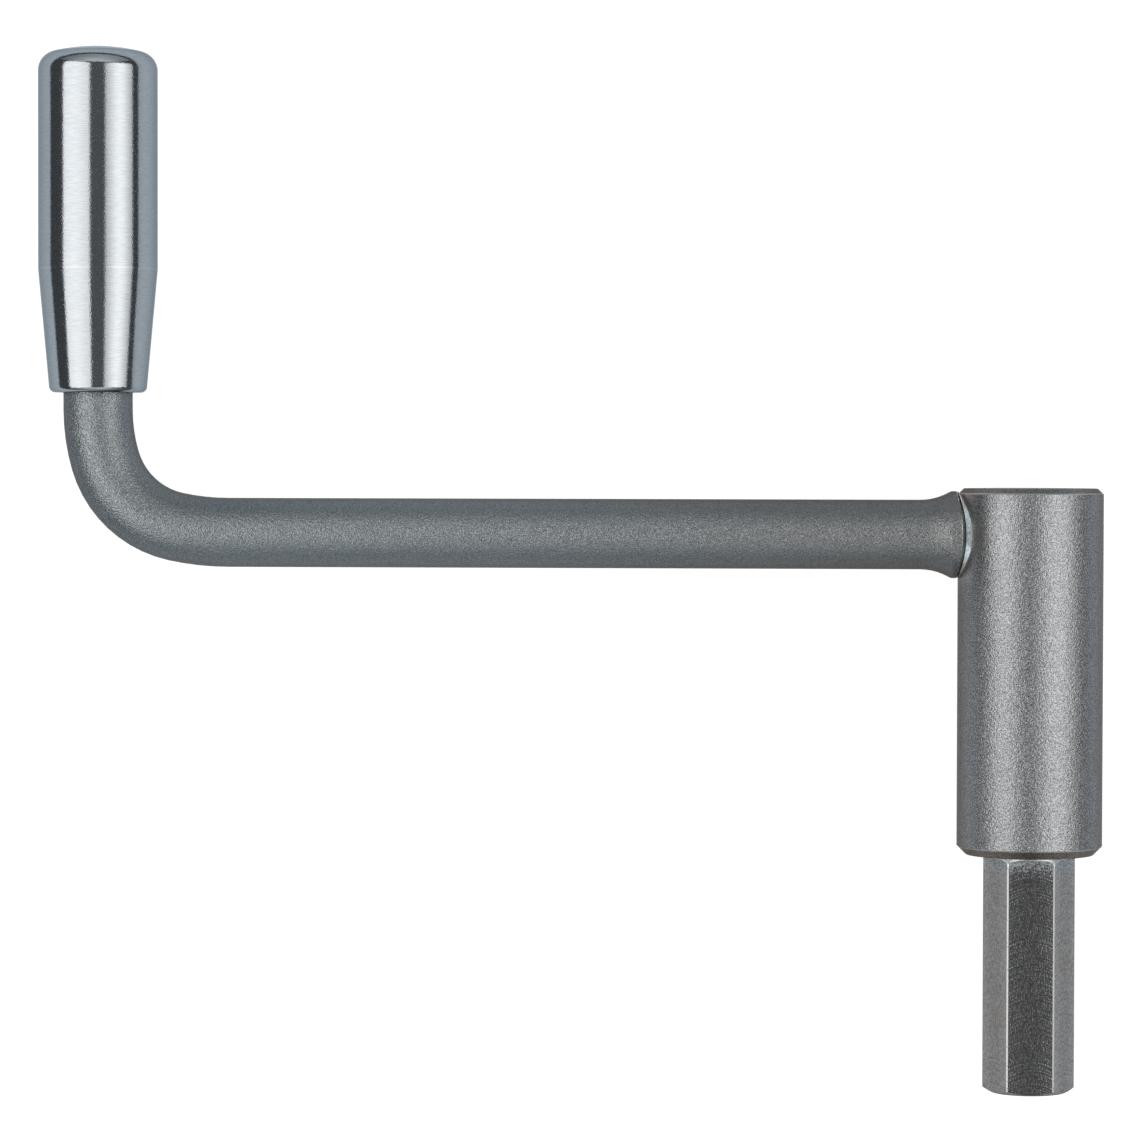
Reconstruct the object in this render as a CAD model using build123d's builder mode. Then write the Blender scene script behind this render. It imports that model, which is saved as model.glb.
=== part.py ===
from build123d import *

import os
from math import asin, acos, cos, radians, sin, sqrt, tan

# Crank handle, lying on its side as it comes to rest. All lengths are in millimetres.
# The origin is on the hub's axis, at the shoulder where the hexagon begins. +Y runs along that
# axis away from the hexagon, the arm reaches towards -X, and +Z is up from what the part lies on.

# Hexagon drive: six flats milled on a turned spigot
socket_size = 14.0  # across the flats of the socket that takes the hexagon
socket_clearance = 0.2
hexagon_length = 41.0
spigot_diameter = 15.75
cutter_radius = 16.0
flat_runout = 0.4  # from the shoulder to the nearest point of a milled flat
tip_diameter = 13.2
tip_chamfer_angle = 30.0

# Hub
hub_diameter = 25.0
hub_length = 63.0
hub_top_chamfer = 1.0
hub_bottom_chamfer = 1.5

# Arm
bar_diameter = 12.0
arm_drop = 8.0  # arm's axis below the hub's top
crank_radius = 161.5  # from the hub's axis to the grip's axis
bend_radius = 16.4
lower_ease_radius = 44.0
lower_ease_angle = 12.0
upper_ease_radius = 32.0
upper_ease_angle = 16.0
leg_length = 2.9  # straight bar between the bend and the sleeve

# Upset end of the arm, and the weld between it and the hub
flare_diameter = 15.0
flare_root_radius = 10.0
flare_crown_radius = 1.2
flare_crown_distance = 0.9  # from the hub's side to the flare's largest diameter
rim_distance = 0.1  # from the hub's side to the rim, in the plane of the crank
rim_saddle_radius = 30.0
rim_rounding = 0.3
weld_width = 14.9  # along the hub
weld_height = 14.3
weld_distance = 0.05  # from the hub's side to the collar, in the plane of the crank
weld_saddle_radius = 20.5  # tighter than the rim's, so the groove between them widens upwards
weld_groove_depth = 0.45

# Revolving sleeve
sleeve_length = 60.0
sleeve_diameter = 20.7
sleeve_foot_diameter = 16.8
taper_length = 21.4
dome_radius = 33.0
dome_rounding = 3.4
foot_rounding = 1.1
bore_depth = 50.0
drill_point_angle = 118.0

# Journal inside the sleeve
journal_diameter = 10.0
journal_clearance = 0.05
journal_chamfer = 1.0
journal_end_gap = 2.0  # from the journal's end to the foot of the bore
shoulder_depth = 3.0  # how far the full bar reaches into the sleeve
shoulder_clearance = 0.3
thrust_gap = 0.1

# Snap ring
ring_wire = 1.2
ring_grip = 0.7  # how deep the ring sits in the sleeve's groove
ring_height = 42.0  # above the sleeve's foot
ring_opening_angle = 30.0
ring_side_gap = 0.1
ring_seat_gap = 0.02

# Values that follow from the sizes above
across_flats = socket_size - socket_clearance
spigot_radius = spigot_diameter / 2
hub_radius = hub_diameter / 2
bar_radius = bar_diameter / 2
arm_height = hub_length - arm_drop
flare_radius = flare_diameter / 2
sleeve_radius = sleeve_diameter / 2
foot_radius = sleeve_foot_diameter / 2
journal_radius = journal_diameter / 2
bore_radius = journal_radius + journal_clearance
ring_groove_width = ring_wire + 2 * ring_side_gap
ring_groove_radius = bore_radius + ring_grip
ring_mean_radius = ring_groove_radius - ring_seat_gap - ring_wire / 2

# The bend: three tangent arcs that together turn the bar by a right angle
right_angle = 90.0
bend_angle = right_angle - lower_ease_angle - upper_ease_angle
bend_arcs = [
    (lower_ease_radius, lower_ease_angle),
    (bend_radius, bend_angle),
    (upper_ease_radius, upper_ease_angle),
]


def bend_reach(arcs):
    """How far the arcs carry the bar outwards and upwards."""
    run, rise, heading = 0.0, 0.0, 0.0
    for radius, angle in arcs:
        turned = heading + angle
        run += radius * (sin(radians(turned)) - sin(radians(heading)))
        rise += radius * (cos(radians(heading)) - cos(radians(turned)))
        heading = turned
    return run, rise


bend_run, bend_rise = bend_reach(bend_arcs)
sleeve_height = arm_height + bend_rise + leg_length

# The crank is drawn flat in one plane: x outwards from the hub's axis, y along it. The plane leans
# by the small angle that lets the thick hub and the thinner sleeve touch the same level surface.
lean = asin((hub_radius - sleeve_radius) / crank_radius)
outward = Vector(-cos(lean), 0, -sin(lean))
crank_plane = Plane(origin=(0, 0, 0), x_dir=outward, z_dir=Vector(sin(lean), 0, -cos(lean)))
arm_start = crank_plane.from_local_coords((0, arm_height, 0))
arm_axis = Axis(arm_start, outward)
sleeve_start = crank_plane.from_local_coords((crank_radius, sleeve_height, 0))
sleeve_plane = Plane(origin=sleeve_start, x_dir=outward, z_dir=crank_plane.z_dir)
sleeve_axis = Axis(sleeve_start, (0, 1, 0))

# Hub and hexagon: one turned bar, then six milled flats
tip_chamfer_length = (spigot_diameter - tip_diameter) / 2 * tan(radians(tip_chamfer_angle))
flat_count = 6
flat_depth = spigot_radius - across_flats / 2

with BuildPart() as drive_hub:
    with BuildSketch(crank_plane):
        with BuildLine():
            Polyline(
                (0, hub_length),
                (hub_radius - hub_top_chamfer, hub_length),
                (hub_radius, hub_length - hub_top_chamfer),
                (hub_radius, hub_bottom_chamfer),
                (hub_radius - hub_bottom_chamfer, 0),
                (spigot_radius, 0),
                (spigot_radius, tip_chamfer_length - hexagon_length),
                (tip_diameter / 2, -hexagon_length),
                (0, -hexagon_length),
                close=True,
            )
        make_face()
    revolve(axis=Axis.Y)
    for flat in range(flat_count):
        facing = (-crank_plane.z_dir).rotate(Axis.Y, flat * 360 / flat_count)
        with BuildSketch(Plane(origin=facing * across_flats / 2, x_dir=(0, -1, 0), z_dir=facing)):
            with Locations((flat_runout + cutter_radius, 0)):
                Circle(cutter_radius)
                Rectangle(hexagon_length, 2 * cutter_radius, align=(Align.MIN, Align.CENTER))
        extrude(amount=2 * flat_depth, mode=Mode.SUBTRACT)

# Upset end: concave root arc and convex crown arc, tangent to each other and to the bar
flare_angle = acos(1 - (flare_radius - bar_radius) / (flare_root_radius + flare_crown_radius))
crown_reach = hub_radius + flare_crown_distance
root_reach = crown_reach + (flare_root_radius + flare_crown_radius) * sin(flare_angle)
join_reach = crown_reach + flare_crown_radius * sin(flare_angle)
join_radius = flare_radius - flare_crown_radius * (1 - cos(flare_angle))
inside_hub = hub_radius / 2

# The hub's side, the rim and the weld's collar are cylinders whose axes are parallel to the hub's,
# so each is a circle in this plane, drawn upwards from the shoulder.
section_plane = Plane(origin=(0, 0, 0), x_dir=outward, z_dir=(0, 1, 0))
rim_reach = hub_radius + rim_distance
rim_centre = rim_reach - rim_saddle_radius
collar_centre = hub_radius + weld_distance - weld_saddle_radius
section_height = arm_height + flare_diameter

journal_end = bore_depth - journal_end_gap
shoulder_height = shoulder_depth - thrust_gap
ring_groove_floor = journal_radius - ring_wire
ring_groove_bottom = ring_height - ring_groove_width / 2
ring_groove_top = ring_height + ring_groove_width / 2

with BuildPart() as crank_arm:
    with BuildSketch(crank_plane):
        with BuildLine():
            root = TangentArc(
                (root_reach, arm_height + bar_radius),
                (join_reach, arm_height + join_radius),
                tangent=(-1, 0),
            )
            crown = TangentArc(root @ 1, (crown_reach, arm_height + flare_radius), tangent=root % 1)
            Polyline(
                crown @ 1,
                (inside_hub, arm_height + flare_radius),
                (inside_hub, arm_height),
                (root_reach, arm_height),
                root @ 0,
            )
        make_face()
    revolve(axis=arm_axis)
    with BuildSketch(section_plane):
        with Locations((rim_centre, 0)):
            Circle(rim_saddle_radius)
    extrude(amount=section_height, mode=Mode.SUBTRACT)
    rim_edge = crank_arm.edges().sort_by(arm_axis)[0]
    fillet(rim_edge, rim_rounding)
    with BuildLine(crank_plane) as arm_path:
        stretch = Line((inside_hub, arm_height), (crank_radius - bend_run, arm_height))
        for radius, angle in bend_arcs:
            stretch = JernArc(stretch @ 1, stretch % 1, radius, angle)
        Line(stretch @ 1, sleeve_plane.from_local_coords((0, shoulder_height, 0)))
    with BuildSketch(Plane(origin=arm_path.line @ 0, x_dir=(0, 1, 0), z_dir=outward)):
        Circle(bar_radius)
    sweep(path=arm_path.line)
    with BuildSketch(section_plane):
        Circle(hub_radius)
    extrude(amount=section_height, mode=Mode.SUBTRACT)
    with BuildSketch(sleeve_plane):
        with BuildLine():
            Polyline(
                (0, 0),
                (0, journal_end),
                (journal_radius - journal_chamfer, journal_end),
                (journal_radius, journal_end - journal_chamfer),
                (journal_radius, ring_groove_top),
                (ring_groove_floor, ring_groove_top),
                (ring_groove_floor, ring_groove_bottom),
                (journal_radius, ring_groove_bottom),
                (journal_radius, 0),
                close=True,
            )
        make_face()
    revolve(axis=sleeve_axis)

# Weld metal around the arm's core: a smooth collar on the hub, and a lower neck beside the rim
collar_radii = (weld_width / 2, weld_height / 2)
neck_radii = (radius - weld_groove_depth for radius in collar_radii)
weld_plane = Plane(origin=arm_start + outward * inside_hub, x_dir=(0, 1, 0), z_dir=outward)
weld_length = rim_reach - inside_hub

with BuildPart() as weld_bead:
    with BuildSketch(weld_plane):
        Ellipse(*collar_radii)
        Circle(bar_radius, mode=Mode.SUBTRACT)
    extrude(amount=weld_length)
    with BuildSketch(section_plane):
        with Locations((collar_centre, 0)):
            Circle(weld_saddle_radius)
    extrude(amount=section_height, mode=Mode.INTERSECT)
    with BuildSketch(weld_plane):
        Ellipse(*neck_radii)
        Circle(bar_radius, mode=Mode.SUBTRACT)
    extrude(amount=weld_length)
    with BuildSketch(section_plane):
        with Locations((rim_centre, 0)):
            Circle(rim_saddle_radius)
    extrude(amount=section_height, mode=Mode.INTERSECT)
    with BuildSketch(section_plane):
        Circle(hub_radius)
    extrude(amount=section_height, mode=Mode.SUBTRACT)

# Sleeve: domed outside turned in one piece, blind bore with a counterbore and a ring groove
dome_drop = dome_radius - sqrt(dome_radius**2 - sleeve_radius**2)
drill_point = bore_radius / tan(radians(drill_point_angle / 2))
counterbore_radius = bar_radius + shoulder_clearance

with BuildPart() as grip_sleeve:
    with BuildSketch(sleeve_plane):
        with BuildLine():
            Polyline(
                (0, sleeve_length),
                (0, 0),
                (foot_radius, 0),
                (sleeve_radius, taper_length),
                (sleeve_radius, sleeve_length - dome_drop),
            )
            RadiusArc((sleeve_radius, sleeve_length - dome_drop), (0, sleeve_length), -dome_radius)
        make_face()
    revolve(axis=sleeve_axis)
    round_edges = grip_sleeve.edges().filter_by(lambda edge: edge.is_closed).sort_by(sleeve_axis)
    fillet(round_edges[-1], dome_rounding)
    fillet(round_edges[0], foot_rounding)
    with BuildSketch(sleeve_plane):
        with BuildLine():
            Polyline(
                (0, 0),
                (0, bore_depth + drill_point),
                (bore_radius, bore_depth),
                (bore_radius, ring_groove_top),
                (ring_groove_radius, ring_groove_top),
                (ring_groove_radius, ring_groove_bottom),
                (bore_radius, ring_groove_bottom),
                (bore_radius, shoulder_depth),
                (counterbore_radius, shoulder_depth),
                (counterbore_radius, 0),
                close=True,
            )
        make_face()
    revolve(axis=sleeve_axis, mode=Mode.SUBTRACT)

# Snap ring: open ring of round wire, sprung out into the sleeve's groove
with BuildPart() as snap_ring:
    with BuildSketch(sleeve_plane):
        with Locations((ring_mean_radius, ring_height)):
            Circle(ring_wire / 2)
    revolve(axis=sleeve_axis, revolution_arc=360 - ring_opening_angle)

pieces = {
    "drive_hub": drive_hub,
    "crank_arm": crank_arm,
    "weld_bead": weld_bead,
    "grip_sleeve": grip_sleeve,
    "snap_ring": snap_ring,
}
os.makedirs("parts", exist_ok=True)
for name, piece in pieces.items():
    piece.part.label = name
    export_step(piece.part, f"parts/{name}.step")
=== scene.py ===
"""Looks of the steel crank handle: finishes for its pieces, the floor, the light tent and the camera.

Lengths are in millimetres of the part's frame, and noise scales are per millimetre.
"""

import math

import bpy
from mathutils import Matrix, Vector


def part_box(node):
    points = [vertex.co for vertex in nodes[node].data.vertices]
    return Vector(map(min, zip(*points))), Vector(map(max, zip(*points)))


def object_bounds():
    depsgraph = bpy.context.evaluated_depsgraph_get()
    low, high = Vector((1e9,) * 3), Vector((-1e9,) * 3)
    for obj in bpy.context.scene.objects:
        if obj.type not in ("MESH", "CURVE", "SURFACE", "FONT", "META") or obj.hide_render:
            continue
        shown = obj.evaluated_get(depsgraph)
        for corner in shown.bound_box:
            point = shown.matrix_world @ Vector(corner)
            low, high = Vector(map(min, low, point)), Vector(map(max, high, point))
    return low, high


MM = 0.001
PER_MM = 1000.0

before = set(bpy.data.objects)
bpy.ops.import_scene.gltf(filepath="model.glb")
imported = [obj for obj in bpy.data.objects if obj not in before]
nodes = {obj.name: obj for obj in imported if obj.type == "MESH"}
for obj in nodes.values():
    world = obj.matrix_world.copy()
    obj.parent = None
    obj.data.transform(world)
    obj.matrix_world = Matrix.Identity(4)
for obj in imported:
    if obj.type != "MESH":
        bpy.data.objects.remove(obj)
cad_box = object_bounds()
hub_low, hub_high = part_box("drive_hub")
bead_low, bead_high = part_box("weld_bead")
grip_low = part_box("grip_sleeve")[0]
whole_low, whole_high = (Vector(corner) for corner in cad_box)
part_centre = (whole_low + whole_high) / 2
weld_centre = (bead_low + bead_high) / 2


# ---------------------------------------------------------------- shader graphs


class Graph:
    """The node tree of one material, with short calls that add nodes and link them."""

    def __init__(self, name):
        self.material = bpy.data.materials.new(name)
        self.material.use_nodes = True
        self.tree = self.material.node_tree
        self.tree.nodes.clear()

    def feed(self, socket, value):
        """Links another node's output to the input, or sets the input to a constant."""
        if isinstance(value, bpy.types.NodeSocket):
            self.tree.links.new(value, socket)
        else:
            socket.default_value = value

    def add(self, kind, inputs=None, **settings):
        """Adds a node, sets its properties and feeds its inputs."""
        node = self.tree.nodes.new("ShaderNode" + kind)
        for name, value in settings.items():
            setattr(node, name, value)
        for name, value in (inputs or {}).items():
            self.feed(node.inputs[name], value)
        return node

    def math(self, operation, first, second=0.0, third=0.0):
        inputs = {0: first, 1: second, 2: third}
        return self.add("Math", inputs, operation=operation).outputs[0]

    def away(self, value, centre):
        """How far the value is from the centre, on either side."""
        return self.math("ABSOLUTE", self.math("SUBTRACT", value, centre))

    def diagonal(self, first, second):
        squares = self.math("ADD", self.math("MULTIPLY", first, first), self.math("MULTIPLY", second, second))
        return self.math("SQRT", squares)

    def arc(self, radius, aside):
        """How high a circle about the origin is, at a distance aside from its middle."""
        return self.math("SQRT", self.math("SUBTRACT", radius**2, self.math("MULTIPLY", aside, aside)))

    def place(self):
        """The point on the piece, in millimetres of the part's frame."""
        coordinates = self.add("TexCoord").outputs["Object"]
        return self.add("VectorMath", {0: coordinates, "Scale": PER_MM}, operation="SCALE").outputs[0]

    def axes(self, vector):
        return self.add("SeparateXYZ", {0: vector}).outputs

    def multiply(self, first, second):
        """The product of two vectors or colours, axis by axis."""
        return self.add("VectorMath", {0: first, 1: second}, operation="MULTIPLY").outputs[0]

    def noise(self, vector, scale, detail=2.0):
        inputs = {"Vector": vector, "Scale": scale, "Detail": detail, "Roughness": 0.5}
        return self.add("TexNoise", inputs).outputs["Fac"]

    def remap(self, value, low, high, to_low=0.0, to_high=1.0):
        """value from low..high to to_low..to_high, with smooth ends."""
        inputs = {"Value": value, "From Min": low, "From Max": high, "To Min": to_low, "To Max": to_high}
        return self.add("MapRange", inputs, interpolation_type="SMOOTHSTEP").outputs["Result"]

    def spread(self, noise, to_low=0.0, to_high=1.0):
        """Noise, most of which lies between 0.3 and 0.7, spread over to_low..to_high."""
        return self.remap(noise, 0.3, 0.7, to_low, to_high)

    def blend(self, factor, first, second):
        """A colour between first and second."""
        node = self.add("Mix", data_type="RGBA")
        inputs = {"Factor_Float": factor, "A_Color": first, "B_Color": second}
        for socket in node.inputs:
            if socket.identifier in inputs:
                self.feed(socket, inputs[socket.identifier])
        return next(s for s in node.outputs if s.identifier == "Result_Color")

    def bump(self, height, distance, strength=1.0):
        inputs = {"Height": height, "Distance": distance, "Strength": strength}
        return self.add("Bump", inputs).outputs["Normal"]

    def surface(self, shader):
        output = self.add("OutputMaterial")
        self.tree.links.new(shader, output.inputs["Surface"])
        return self.material


def rgb(red, green, blue):
    return (red, green, blue, 1.0)


untinted = rgb(1, 1, 1)


# ---------------------------------------------------------------- sizes on the part

hub_radius = (hub_high.x - hub_low.x) / 2 * PER_MM
collar_radius = (bead_high.z - bead_low.z) / 2 * PER_MM
collar_width = (bead_high.y - bead_low.y) / 2 * PER_MM
rim_saddle_radius = 30.0
rim_reach = hub_radius + 0.1
hexagon_corner = 7.875
half_face = 3.94
taper_length = 21.4
taper_start = grip_low.y * PER_MM + taper_length


# ---------------------------------------------------------------- blasted steel

blasted_roughness = 0.28
fine_dimples = 4.6
coarse_dimples = 1.9
coarse_share = 0.8
dimple_shades = 5.2

hub_light = rgb(0.297, 0.309, 0.320)
hub_dark = rgb(0.136, 0.142, 0.147)
hub_dimple_depth = 0.08 * MM

arm_light = rgb(0.210, 0.231, 0.243)
arm_dark = rgb(0.128, 0.142, 0.152)
arm_dimple_depth = 0.115 * MM
# Painted light and shade along the bar: a little lighter near the grip, darker and warmer near the hub.
arm_painted_light_near_grip = rgb(1.04, 1.04, 1.04)
arm_painted_shade_near_hub = rgb(0.95, 0.89, 0.86)
arm_painted_shade_x = (-110, -10)

warm_edge = rgb(0.46, 0.41, 0.37)


def metal(g, colour, roughness, normal, edge=warm_edge):
    """A metal whose glancing edges are dimmer than a perfect mirror's."""
    inputs = {"Base Color": colour, "Metallic": 1.0, "Roughness": roughness, "Normal": normal}
    inputs["Specular Tint"] = edge
    return g.add("BsdfPrincipled", inputs).outputs[0]


def blasted(g, place, light, dark, depth, tint_and_painted_light, relief=1.0):
    """Shot-blasted steel: fine dimples that glint, some darker than others, its colour times a tint that
    carries painted light and shade.
    """
    fine = g.noise(place, fine_dimples, 1.0)
    coarse = g.noise(place, coarse_dimples, 1.0)
    dimples = g.math("MULTIPLY_ADD", coarse, coarse_share, fine)
    colour = g.blend(g.spread(g.noise(place, dimple_shades, 0.0)), dark, light)
    return metal(g, g.multiply(colour, tint_and_painted_light), blasted_roughness, g.bump(dimples, depth, relief))


# ---------------------------------------------------------------- turned chamfers

turned_light = rgb(0.222, 0.220, 0.216)
turned_dark = rgb(0.112, 0.110, 0.107)
# Painted highlight along a chamfer's outer edge.
chamfer_edge_highlight = rgb(0.52, 0.52, 0.52)
turned_roughness = 0.3
turned_grain = 4.0
turned_grain_depth = 0.05 * MM

brown_light = rgb(0.195, 0.172, 0.150)
brown_dark = rgb(0.085, 0.070, 0.056)
brown_fade_y = (2.0, 6.0)
brown_fade_aside = (5.0, 9.5)


def turned(g, place, unstained, rim):
    """Bare chamfers, brown where they are stained, with a painted highlight along their outer edge."""
    grain = g.noise(place, turned_grain, 1.0)
    dark = g.blend(unstained, brown_dark, turned_dark)
    light = g.blend(unstained, brown_light, turned_light)
    colour = g.blend(rim, g.blend(g.spread(grain), dark, light), chamfer_edge_highlight)
    return metal(g, colour, turned_roughness, g.bump(grain, turned_grain_depth))


# ---------------------------------------------------------------- milled hexagon

milled_light = rgb(0.328, 0.328, 0.324)
milled_dark = rgb(0.174, 0.174, 0.172)
milled_shades = (0.85, 1.45)
milled_specks = 4.0
milled_streaks = (5.0, 1.5, 5.0)
milled_roughness = 0.15

cutter_path_radius = 7.6
cutter_arcs = 2.6
cutter_arc_height = 2.5
cutter_arc_shade = 0.3
cutter_mark_depth = 0.014 * MM

milled_pale = rgb(0.355, 0.420, 0.445)
pale_specks = (0.4, 0.6)
run_out_y = (-1.3, 2.4)
run_out_ragged = 5.0
run_out_roughness = 0.4

milled_stain = rgb(1.0, 0.96, 0.94)
stain_patches = 0.3
stain_limits = (0.45, 0.65)
face_shading = (0.96, 1.14)
face_shading_start = 0.5

worn_corner = rgb(0.28, 0.29, 0.30)
arch_radius = 1.3
arch_drop = 0.45
arch_foot_y = -(arch_radius + arch_drop)
arch_fade = 0.12
arch_grey = rgb(0.285, 0.295, 0.31)
# Painted highlight along the line of each arch.
arch_highlight = rgb(0.55, 0.57, 0.59)
arch_highlight_fade = (0.04, 0.16)
arch_highlight_strength = 0.7


def at_outside(g, radius, outside):
    """1 on a round surface of the radius outside, and 0 from just inside it."""
    return g.remap(radius, outside - 0.12, outside - 0.04)


def across_face(g, x, z, radius):
    """How far a point on the hexagon is from the middle line of its flat, to either side."""
    half_flat = math.pi / 6
    from_middle = g.math("WRAP", g.math("ARCTAN2", z, x), half_flat * 4, half_flat * 2)
    from_middle = g.math("SUBTRACT", from_middle, half_flat * 3)
    return g.math("MULTIPLY", radius, g.math("SINE", from_middle))


def cutter_marks(g, place, y, across, specks):
    """Height and shade of the cutter's arcs, with streaks along the hexagon and specks."""
    along = g.math("SUBTRACT", y, g.arc(cutter_path_radius, across))
    arc_inputs = {"W": along, "Scale": cutter_arcs, "Detail": 1.0}
    arcs = g.add("TexNoise", arc_inputs, noise_dimensions="1D").outputs["Fac"]
    grain = g.math("ADD", g.noise(g.multiply(place, milled_streaks), 1.0, 1.0), specks)
    height = g.math("MULTIPLY_ADD", arcs, cutter_arc_height, grain)
    shade = g.math("MULTIPLY_ADD", arcs, cutter_arc_shade, grain)
    return height, shade


def milled_tint(g, place, across):
    """Faint stains in patches, and each flat a little brighter towards its corners."""
    patches = g.noise(place, stain_patches, 3.0)
    stain = g.blend(g.remap(patches, *stain_limits), untinted, milled_stain)
    shading = g.remap(g.math("ABSOLUTE", across), face_shading_start, half_face, *face_shading)
    return g.add("VectorMath", {0: stain, "Scale": shading}, operation="SCALE").outputs[0]


def arch_marks(g, y, across):
    """Where a flat gives way to the round spigot at its root, and a painted highlight on the line between
    them.
    """
    into_corner = g.math("SUBTRACT", g.math("ABSOLUTE", across), half_face - arch_radius)
    into_corner = g.math("MAXIMUM", 0.0, into_corner)
    into_top = g.math("MAXIMUM", 0.0, g.math("SUBTRACT", y, arch_foot_y))
    from_centre = g.diagonal(into_corner, into_top)
    beyond = g.remap(from_centre, arch_radius, arch_radius + arch_fade)
    near_root = g.remap(y, arch_foot_y - 0.2, arch_foot_y + 0.3)
    near_highlight = g.remap(g.away(from_centre, arch_radius), *arch_highlight_fade, arch_highlight_strength, 0.0)
    return beyond, g.math("MULTIPLY", near_root, near_highlight)


def milled(g, place, x, y, z, radius):
    """Milled flats: cutter marks, a pale run-out at the root, worn corners, and arches with a painted
    highlight.
    """
    across = across_face(g, x, z, radius)
    specks = g.noise(place, milled_specks, 1.0)
    height, shade = cutter_marks(g, place, y, across, specks)
    run_out = g.remap(g.math("MULTIPLY_ADD", specks, run_out_ragged, y), *run_out_y)
    pale = g.blend(g.remap(specks, *pale_specks), milled_dark, milled_pale)
    flat = g.blend(g.remap(shade, *milled_shades), milled_dark, milled_light)
    colour = g.multiply(g.blend(run_out, flat, pale), milled_tint(g, place, across))
    colour = g.blend(at_outside(g, radius, hexagon_corner), colour, worn_corner)
    beyond_arch, on_arch_highlight = arch_marks(g, y, across)
    colour = g.blend(beyond_arch, colour, arch_grey)
    # Painted highlight along the arch.
    colour = g.blend(on_arch_highlight, colour, arch_highlight)
    unmilled = g.math("MAXIMUM", run_out, beyond_arch)
    roughness = g.remap(unmilled, 0.0, 1.0, milled_roughness, run_out_roughness)
    return metal(g, colour, roughness, g.bump(height, cutter_mark_depth))


# ---------------------------------------------------------------- weld

# Heat tint beside the weld, and painted light that lifts the hub where it mirrors the dark flare.
weld_heat_tint_and_painted_light = rgb(1.50, 1.40, 1.32)
heat_tint_and_light_reach = 4
relief_reach = 6
relief_at_weld = 0.3

# The bead's lighter patches; the same colour paints the highlight along the flare's rim.
bead_light_and_rim_highlight = rgb(0.55, 0.62, 0.65)
bead_dark = rgb(0.36, 0.42, 0.44)
bead_patches = 1.6
bead_patch_limits = (0.35, 0.65)
# Painted light on the bead's ends, which lie in shade.
bead_end_painted_light = rgb(0.66, 0.63, 0.61)
bead_end_light_fade = (3.0, 5.5)
bead_ripples = 2.4
bead_roughness = 0.3
ripple_depth = 0.06 * MM

# Painted shade in the groove between the collar and the rim.
groove_painted_shade = rgb(0.10, 0.11, 0.115)
groove_edge = (0.3, 0.2)

# Painted highlight along the flare's rim beside the weld.
rim_ripples = 3.0
rim_breaks = 1.5
rim_fade = (0.2, 0.45)
rim_roughness = 0.25


def from_arm_axis(g, y, z):
    """How far a point beside the hub is from the arm's axis, in the shape of the oval weld."""
    rise = g.math("SUBTRACT", y, weld_centre.y * PER_MM)
    rise = g.math("MULTIPLY", rise, collar_radius / collar_width)
    height = g.math("SUBTRACT", z, weld_centre.z * PER_MM)
    return g.diagonal(rise, height)


def weld_metal():
    """The collar of weld metal, pale and rippled, with painted light at its shaded ends, and painted shade in
    the groove between it and the rim.
    """
    g = Graph("weld_metal")
    place = g.place()
    _, y, z = g.axes(place)
    groove_end, collar_start = (collar_radius - inside for inside in groove_edge)
    collar = g.remap(from_arm_axis(g, y, z), groove_end, collar_start)
    patches = g.remap(g.noise(place, bead_patches), *bead_patch_limits)
    # Painted light: the bead's shaded ends are coloured lighter.
    at_end = g.remap(g.away(y, weld_centre.y * PER_MM), *bead_end_light_fade)
    bead = g.blend(at_end, g.blend(patches, bead_dark, bead_light_and_rim_highlight), bead_end_painted_light)
    # Painted shade: the groove is coloured dark.
    colour = g.blend(collar, groove_painted_shade, bead)
    return g.surface(metal(g, colour, bead_roughness, g.bump(g.noise(place, bead_ripples), ripple_depth)))


# ---------------------------------------------------------------- hub and arm

# The band along the chamfer's outer edge that gets the painted highlight.
rim_highlight_band = (0.25, 0.1)
weld_side_x = 2.0
beyond_weld = 20.0


def hub_steel():
    """The hub and its hexagon: blasted side, turned chamfers, milled flats, with painted light beside the
    weld and painted highlights along edges.
    """
    g = Graph("hub_steel")
    place = g.place()
    x, y, z = g.axes(place)
    radius = g.diagonal(x, z)
    # Painted highlight along the chamfer's outer edge.
    rim_start, rim_end = (hub_radius - inside for inside in rim_highlight_band)
    rim = g.remap(radius, rim_start, rim_end)
    on_hub = g.remap(y, -0.03, 0.0)
    far_side = g.remap(x, -weld_side_x, weld_side_x, 0.0, beyond_weld)
    from_weld = g.math("ADD", from_arm_axis(g, y, z), far_side)
    # Heat tint and painted light: the hub is lighter and warmer just beside the weld.
    tint_and_painted_light = g.blend(g.remap(from_weld, collar_radius, collar_radius + heat_tint_and_light_reach), weld_heat_tint_and_painted_light, untinted)
    relief = g.remap(from_weld, collar_radius, collar_radius + relief_reach, relief_at_weld, 1.0)
    side = blasted(g, place, hub_light, hub_dark, hub_dimple_depth, tint_and_painted_light, relief)
    above_stain = g.remap(y, *brown_fade_y)
    beside_stain = g.remap(g.math("ABSOLUTE", x), *brown_fade_aside)
    chamfer = turned(g, place, g.math("MAXIMUM", above_stain, beside_stain), rim)
    hub = g.add("MixShader", {0: at_outside(g, radius, hub_radius), 1: chamfer, 2: side}).outputs[0]
    hexagon = milled(g, place, x, y, z, radius)
    return g.surface(g.add("MixShader", {0: on_hub, 1: hexagon, 2: hub}).outputs[0])


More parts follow.
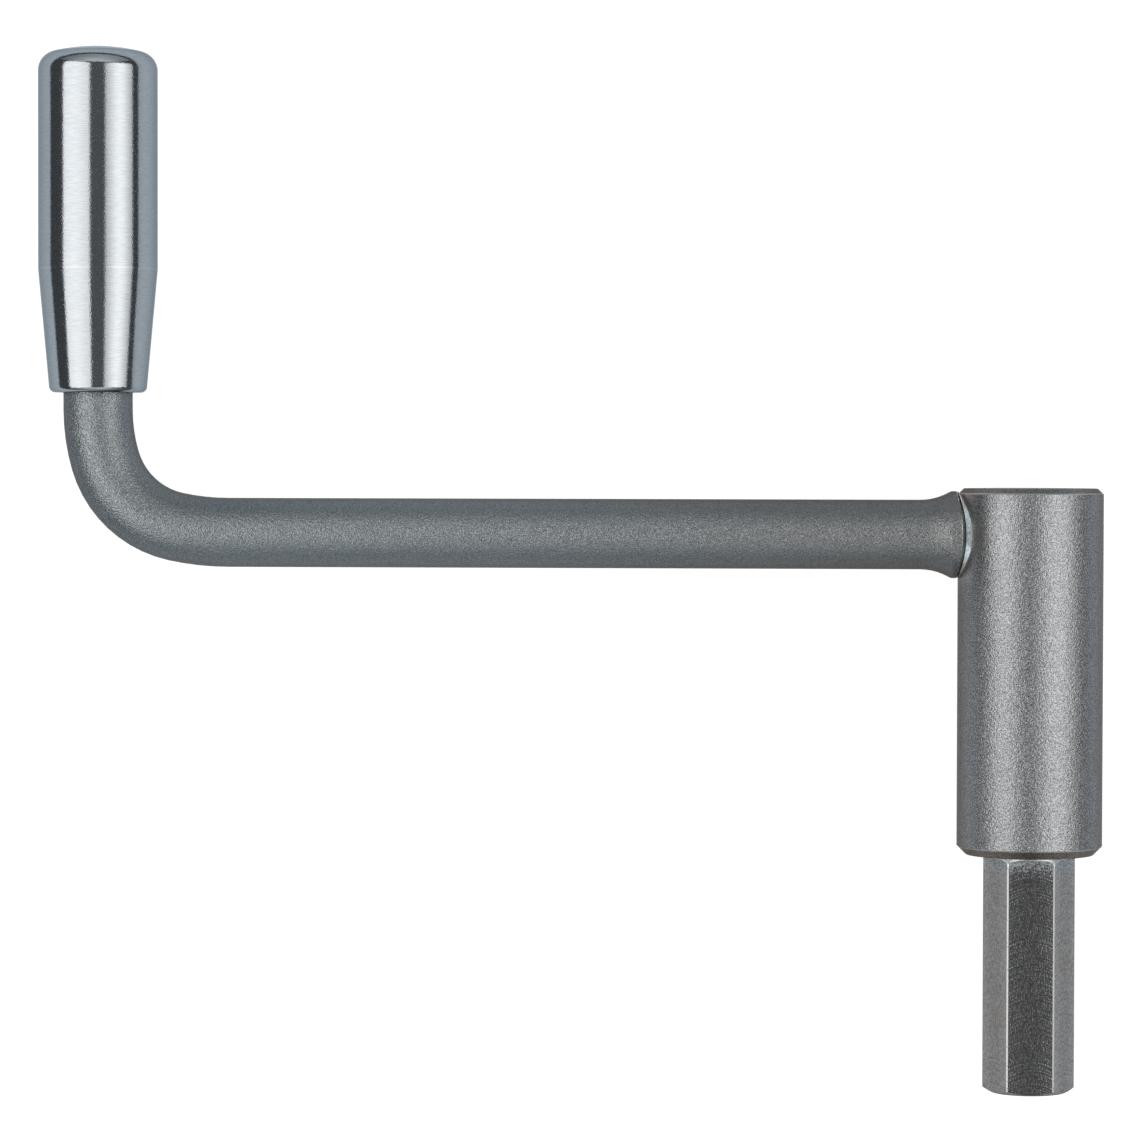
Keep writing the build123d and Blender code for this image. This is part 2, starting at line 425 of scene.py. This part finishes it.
def arm_steel():
    """The bar, a little darker towards the weld as painted shade, with a painted highlight along the rim
    beside it.
    """
    g = Graph("arm_steel")
    place = g.place()
    x, _, z = g.axes(place)
    # Painted shade: the bar darkens and warms towards the hub.
    tint_and_painted_light = g.blend(g.remap(x, *arm_painted_shade_x), arm_painted_light_near_grip, arm_painted_shade_near_hub)
    side = blasted(g, place, arm_light, arm_dark, arm_dimple_depth, tint_and_painted_light)
    from_saddle = g.math("SUBTRACT", g.math("MULTIPLY", x, -1.0), g.arc(rim_saddle_radius, z))
    from_rim = g.math("ADD", from_saddle, rim_saddle_radius - rim_reach)
    # Painted highlight: a broken bright line along the flare's rim.
    near_rim = g.remap(from_rim, *rim_fade, 1.0, 0.0)
    broken = g.math("MULTIPLY", near_rim, g.spread(g.noise(place, rim_breaks), 0.1, 0.9))
    rim = metal(g, bead_light_and_rim_highlight, rim_roughness, g.bump(g.noise(place, rim_ripples, 1.0), ripple_depth))
    return g.surface(g.add("MixShader", {0: broken, 1: side, 2: rim}).outputs[0])


# ---------------------------------------------------------------- grip and ring

polished_light = rgb(0.326, 0.350, 0.369)
polished_dark = rgb(0.278, 0.302, 0.322)
polished_edge = rgb(0.53, 0.55, 0.57)
polished_roughness = 0.075
polish_rings = (0.6, 9.0, 0.6)
polish_specks = 5.0
ring_height = 0.15
polish_depth = 0.01 * MM

pit_specks = 6.5
pit_limits = (0.62, 0.82)
pit_roughness = 0.28

taper_line = rgb(0.38, 0.40, 0.42)
taper_line_fade = (0.05, 0.25)
taper_line_strength = 0.6

wire_grey = rgb(0.20, 0.20, 0.205)
wire_specks = 5.0
wire_roughness = 0.3


def polished_steel():
    """Lathe-polished steel: a mirror with fine rings around the grip and small pits."""
    g = Graph("grip_steel")
    place = g.place()
    y = g.axes(place)[1]
    rings = g.noise(g.multiply(place, polish_rings), 1.0, 1.0)
    specks = g.noise(place, polish_specks, 1.0)
    line = g.remap(g.away(y, taper_start), *taper_line_fade, taper_line_strength, 0.0)
    colour = g.blend(line, g.blend(g.spread(rings), polished_dark, polished_light), taper_line)
    normal = g.bump(g.math("MULTIPLY_ADD", rings, ring_height, specks), polish_depth)
    pits = g.noise(place, pit_specks, 0.0)
    roughness = g.remap(pits, *pit_limits, polished_roughness, pit_roughness)
    return g.surface(metal(g, colour, roughness, normal, polished_edge))


def spring_wire():
    g = Graph("spring_wire")
    normal = g.bump(g.noise(g.place(), wire_specks), polish_depth)
    return g.surface(metal(g, wire_grey, wire_roughness, normal))


def dress(node_name, material):
    for material_slot in nodes[node_name].material_slots:
        material_slot.material = material


dress("drive_hub", hub_steel())
dress("crank_arm", arm_steel())
dress("weld_bead", weld_metal())
dress("grip_sleeve", polished_steel())
dress("snap_ring", spring_wire())


# ---------------------------------------------------------------- floor

floor_half_side = 1500
table_half_width = 245
table_fade = 15
table_seen = 0.86
table_glow = 0.70
table_tint = rgb(0.80, 0.90, 1.0)
table_cloth = rgb(0.3, 0.3, 0.3)
beyond_glow = 0.1
beyond_cloth = rgb(0.02, 0.02, 0.02)
# Painted shadow on the mirrored table beside the hub.
shade_tint = rgb(0.70, 0.72, 0.76)
shade_x = -42
shade_fade = (12, 60)


def flat_object(name, corners):
    """A rectangle from four corners in millimetres, put in the scene. Gives the object and its mesh."""
    mesh = bpy.data.meshes.new(name)
    mesh.from_pydata([Vector(corner) * MM for corner in corners], [], [(0, 1, 2, 3)])
    holder = bpy.data.objects.new(name, mesh)
    bpy.context.collection.objects.link(holder)
    return holder, mesh


def build_floor():
    """A wide white floor. What the part mirrors of it is a cooler table of limited width, with a painted
    shadow beside the hub.
    """
    floor_z = whole_low.z * PER_MM
    signs = ((-1, -1), (1, -1), (1, 1), (-1, 1))
    corners = [(sx * floor_half_side, sy * floor_half_side, floor_z) for sx, sy in signs]
    floor, mesh = flat_object("floor", corners)

    g = Graph("pale_floor")
    path = g.add("LightPath").outputs
    x = g.axes(g.place())[0]
    from_middle = g.away(x, part_centre.x * PER_MM)
    off_table = g.remap(from_middle, table_half_width, table_half_width + table_fade)
    seen = g.math("MULTIPLY", path["Is Camera Ray"], g.remap(off_table, 0.0, 1.0, table_seen, 1.0))
    seen_glow = g.add("Emission", {"Color": untinted, "Strength": seen}).outputs[0]
    mirrored = g.math("MAXIMUM", path["Is Glossy Ray"], path["Is Transmission Ray"])
    mirrored = g.math("MULTIPLY", mirrored, g.remap(off_table, 0.0, 1.0, table_glow, beyond_glow))
    tint = g.blend(g.remap(g.away(x, shade_x), *shade_fade), shade_tint, table_tint)
    mirrored_glow = g.add("Emission", {"Color": tint, "Strength": mirrored}).outputs[0]
    glow = g.add("AddShader", {0: seen_glow, 1: mirrored_glow}).outputs[0]
    cloth = g.add("BsdfDiffuse", {"Color": g.blend(off_table, table_cloth, beyond_cloth)}).outputs[0]
    mesh.materials.append(g.surface(g.add("AddShader", {0: glow, 1: cloth}).outputs[0]))


build_floor()


# ---------------------------------------------------------------- lights

side_card_tint = rgb(1.0, 0.97, 0.95)
side_card_front = -245
side_card_back = 415
side_card_inner_z = 641

end_card_tint = rgb(0.95, 1.0, 1.0)
end_card_left = -760
end_card_right = 480
end_card_bottom = 80
end_glow_z = (100, 800)
end_glow_x = -60
end_glow_reach = 650
end_glow_aside = 0.6

room_tint = rgb(0.95, 1.0, 1.05)
room_low_glow = 0.12
room_high_glow = 0.20
room_low_z = 0.3
room_high_z = 0.95


def card(name, corners, tint, strength):
    """A glowing rectangle for a softbox. The camera doesn't see it, and it casts no shadow."""
    holder, mesh = flat_object(name, corners)
    g = Graph(name)
    glow = g.add("Emission", {"Color": tint, "Strength": strength(g)})
    mesh.materials.append(g.surface(glow.outputs[0]))
    holder.visible_camera = False
    holder.visible_shadow = False


def side_card(name, inner_x, outer_x, outer_z, strength):
    """A card that slopes down to one side of the table."""
    inner = [(inner_x, y, side_card_inner_z) for y in (side_card_front, side_card_back)]
    outer = [(outer_x, y, outer_z) for y in (side_card_back, side_card_front)]
    card(name, inner + outer, side_card_tint, strength)


def end_card(name, y, top, strength):
    """An upright card across one end of the table."""
    lower = [(x, y, end_card_bottom) for x in (end_card_left, end_card_right)]
    upper = [(x, y, top) for x in (end_card_right, end_card_left)]
    card(name, lower + upper, end_card_tint, strength)


def glow_upwards(dim, bright):
    """Brighter towards the top, and a little dimmer towards both sides."""

    def strength(g):
        x, _, z = g.axes(g.place())
        upwards = g.remap(z, *end_glow_z, dim, bright)
        aside = g.remap(g.away(x, end_glow_x), 0, end_glow_reach, 1.0, end_glow_aside)
        return g.math("MULTIPLY", upwards, aside)

    return strength


def glow_along(middle_x, reach, bright, dim):
    """Brightest along a line in the card, and dimmer towards both sides."""

    def strength(g):
        x = g.axes(g.place())[0]
        return g.remap(g.away(x, middle_x), 0, reach, bright, dim)

    return strength


def build_room():
    """A dim grey room, a little lighter overhead. Its heights are those of a direction of length 1."""
    world = bpy.data.worlds.new("room")
    world.use_nodes = True
    bpy.context.scene.world = world
    world_nodes, links = world.node_tree.nodes, world.node_tree.links
    height = world_nodes.new("ShaderNodeSeparateXYZ")
    ramp = world_nodes.new("ShaderNodeMapRange")
    links.new(world_nodes.new("ShaderNodeTexCoord").outputs["Generated"], height.inputs[0])
    links.new(height.outputs["Z"], ramp.inputs["Value"])
    ramp.inputs["From Min"].default_value = room_low_z
    ramp.inputs["From Max"].default_value = room_high_z
    ramp.inputs["To Min"].default_value = room_low_glow
    ramp.inputs["To Max"].default_value = room_high_glow
    background = world_nodes["Background"]
    background.inputs["Color"].default_value = room_tint
    links.new(ramp.outputs["Result"], background.inputs["Strength"])


left_glow = glow_along(middle_x=-480, reach=253, bright=2.7, dim=2.1)
right_glow = glow_along(middle_x=338, reach=275, bright=2.8, dim=1.3)
side_card("left_card", inner_x=-246, outer_x=-624, outer_z=247, strength=left_glow)
side_card("right_card", inner_x=99, outer_x=604, outer_z=166, strength=right_glow)
end_card("back_card", y=590, top=760, strength=glow_upwards(dim=0.68, bright=1.4))
end_card("front_card", y=-490, top=880, strength=glow_upwards(dim=0.68, bright=1.6))
build_room()


# ---------------------------------------------------------------- camera

camera_place = Vector((-50.02, 69.37, 771.5)) * MM
camera_target = Vector((-79.12, 48.53, 0.0)) * MM
camera_roll = math.radians(0.1275)
sensor_width = 36.0
focal_length = 140.94
nearest_seen = 0.01
farthest_seen = 20.0


def build_camera():
    """The camera, turned a little about its line of sight. What it sees is limited in metres."""
    data = bpy.data.cameras.new("camera")
    data.sensor_width = sensor_width
    data.lens = focal_length
    data.clip_start = nearest_seen
    data.clip_end = farthest_seen
    camera = bpy.data.objects.new("camera", data)
    forward = (camera_target - camera_place).normalized()
    right = forward.cross(Vector((0, 1, 0))).normalized()
    up = right.cross(forward)
    rolled_right = right * math.cos(camera_roll) + up * math.sin(camera_roll)
    rolled_up = up * math.cos(camera_roll) - right * math.sin(camera_roll)
    turn = Matrix((rolled_right, rolled_up, -forward)).transposed()
    camera.matrix_world = Matrix.Translation(camera_place) @ turn.to_4x4()
    bpy.context.collection.objects.link(camera)
    bpy.context.scene.camera = camera


build_camera()
bpy.context.scene.view_settings.view_transform = "Standard"
bpy.context.scene.cycles.denoising_prefilter = "NONE"
